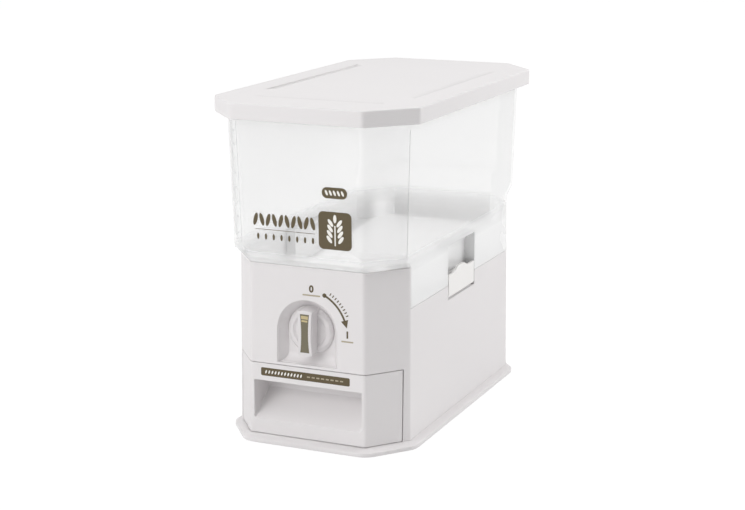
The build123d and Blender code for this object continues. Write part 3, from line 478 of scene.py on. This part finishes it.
# drawer: a brown strip with a row of grains and a row of dashes
STRIP_HEIGHT = 73.3
strip = Print("drawer_strip", housing_front)
strip.bar(-2.3, STRIP_HEIGHT, 96.6, 8.3, 1.4)
strip.lay("drawer", brown_ink)
marks = Print("strip_grains", housing_front.lifted(PRINT_STEP))
for index in range(12):
    marks.spot(-45.0 + 3.5 * index, STRIP_HEIGHT, 1.5, 3.8, -20)
marks.lay("drawer", cream_ink)
dashes = Print("strip_dashes", housing_front.lifted(PRINT_STEP))
for index in range(8):
    dashes.bar(1.6 + 5.1 * index, STRIP_HEIGHT, 3.4, 1.3, 0.5)
dashes.lay("drawer", tan_ink)

# knob: two gold marks on the inlay
gold = Print("knob_marks", inlay_front)
gold.bar(0.1, KNOB_MM + 16.2, 7.3, 3.3, 0.2, -2)
gold.bar(-0.1, KNOB_MM + 12.6, 6.4, 1.8, 0.2, -2)
gold.lay("knob", gold_ink)

# ---------------------------------------------------------------- stage

FLOOR_HALF = 6.0
floor_mesh = bpy.data.meshes.new("floor")
floor_shape = bmesh.new()
bmesh.ops.create_grid(floor_shape, x_segments=1, y_segments=1, size=FLOOR_HALF)
floor_shape.to_mesh(floor_mesh)
floor_shape.free()

WHITE = (1.0, 1.0, 1.0, 1.0)
SHADOW_SHARE = 0.10          # how much of the floor's own shading the camera sees
FLOOR_GLOW = 1.08            # lifts the unshadowed floor to full white


def seen_directly(finish):
    """1 for rays from the camera and through or off the object, 0 for light."""
    path = finish.tree.nodes.new("ShaderNodeLightPath")
    camera, glossy, through = (Signal(finish, path.outputs[name]) for name in (
        "Is Camera Ray", "Is Glossy Ray", "Is Transmission Ray"))
    return finish.add("ShaderNodeMath", {"operation": "MINIMUM"},
                      {0: camera + glossy + through, 1: 1.0})


paper = Finish("white_floor", Base_Color=(0.9, 0.9, 0.9, 1.0), Roughness=0.9)
glow = paper.tree.nodes.new("ShaderNodeEmission")
glow.inputs["Color"].default_value = WHITE
glow.inputs["Strength"].default_value = FLOOR_GLOW
mixed = paper.tree.nodes.new("ShaderNodeMixShader")
paper.feed(mixed.inputs[0], seen_directly(paper) * (1.0 - SHADOW_SHARE))
paper.tree.links.new(paper.surface.outputs[0], mixed.inputs[1])
paper.tree.links.new(glow.outputs[0], mixed.inputs[2])
paper.tree.links.new(mixed.outputs[0], paper.tree.nodes["Material Output"].inputs[0])
floor = linked("floor", floor_mesh, paper.material)

AMBIENT = 0.30
world = bpy.data.worlds.new("studio")
bpy.context.scene.world = world
world.use_nodes = True
sky = world.node_tree
background = sky.nodes["Background"]
path = sky.nodes.new("ShaderNodeLightPath")


def world_sum(first, second, operation="ADD"):
    node = sky.nodes.new("ShaderNodeMath")
    node.operation = operation
    for socket, value in zip(node.inputs, (first, second)):
        if isinstance(value, float):
            socket.default_value = value
        else:
            sky.links.new(value, socket)
    return node.outputs[0]


seen = world_sum(world_sum(path.outputs["Is Camera Ray"], path.outputs["Is Glossy Ray"]),
                 path.outputs["Is Transmission Ray"])
seen = world_sum(seen, 1.0, "MINIMUM")
strength = world_sum(world_sum(seen, 1.0 - AMBIENT, "MULTIPLY"), AMBIENT)
background.inputs["Color"].default_value = WHITE
sky.links.new(strength, background.inputs["Strength"])


OBJECT_MIDDLE = Vector((0, 0, 0.17))


def softbox(name, azimuth, elevation, distance, size, power):
    """Square lamp that looks at the object's middle from that direction."""
    lamp = bpy.data.lights.new(name, "AREA")
    lamp.energy = power
    lamp.size = size
    holder = bpy.data.objects.new(name, lamp)
    bpy.context.scene.collection.objects.link(holder)
    around, up = math.radians(azimuth), math.radians(elevation)
    away = Vector((math.sin(around) * math.cos(up), -math.cos(around) * math.cos(up), math.sin(up)))
    holder.location = OBJECT_MIDDLE + distance * away
    holder.rotation_euler = away.to_track_quat("Z", "Y").to_euler()


softbox("key_left_front", -25, 22, 2.4, 1.2, 18.2)
softbox("fill_left", -55, 15, 2.4, 1.4, 8.4)
softbox("key_high", 5, 62, 2.4, 1.4, 8.0)
softbox("overhead", 0, 88, 2.4, 1.4, 16.5)
softbox("side_right", 125, 25, 2.4, 1.2, 29.0)

# ---------------------------------------------------------------- camera

CAMERA_PLACE = Vector((0.71094, -1.64264, 0.57486))
CAMERA_AZIMUTH = 23.671
CAMERA_ELEVATION = 13.121
lens = bpy.data.cameras.new("camera")
lens.sensor_width = 36.0
lens.lens = 83.485
lens.clip_start = 0.05
camera = bpy.data.objects.new("camera", lens)
bpy.context.scene.collection.objects.link(camera)
camera.location = CAMERA_PLACE
camera.rotation_euler = (math.radians(90 - CAMERA_ELEVATION), 0, math.radians(CAMERA_AZIMUTH))
bpy.context.scene.camera = camera
bpy.context.scene.view_settings.view_transform = "Standard"

bpy.context.view_layer.update()
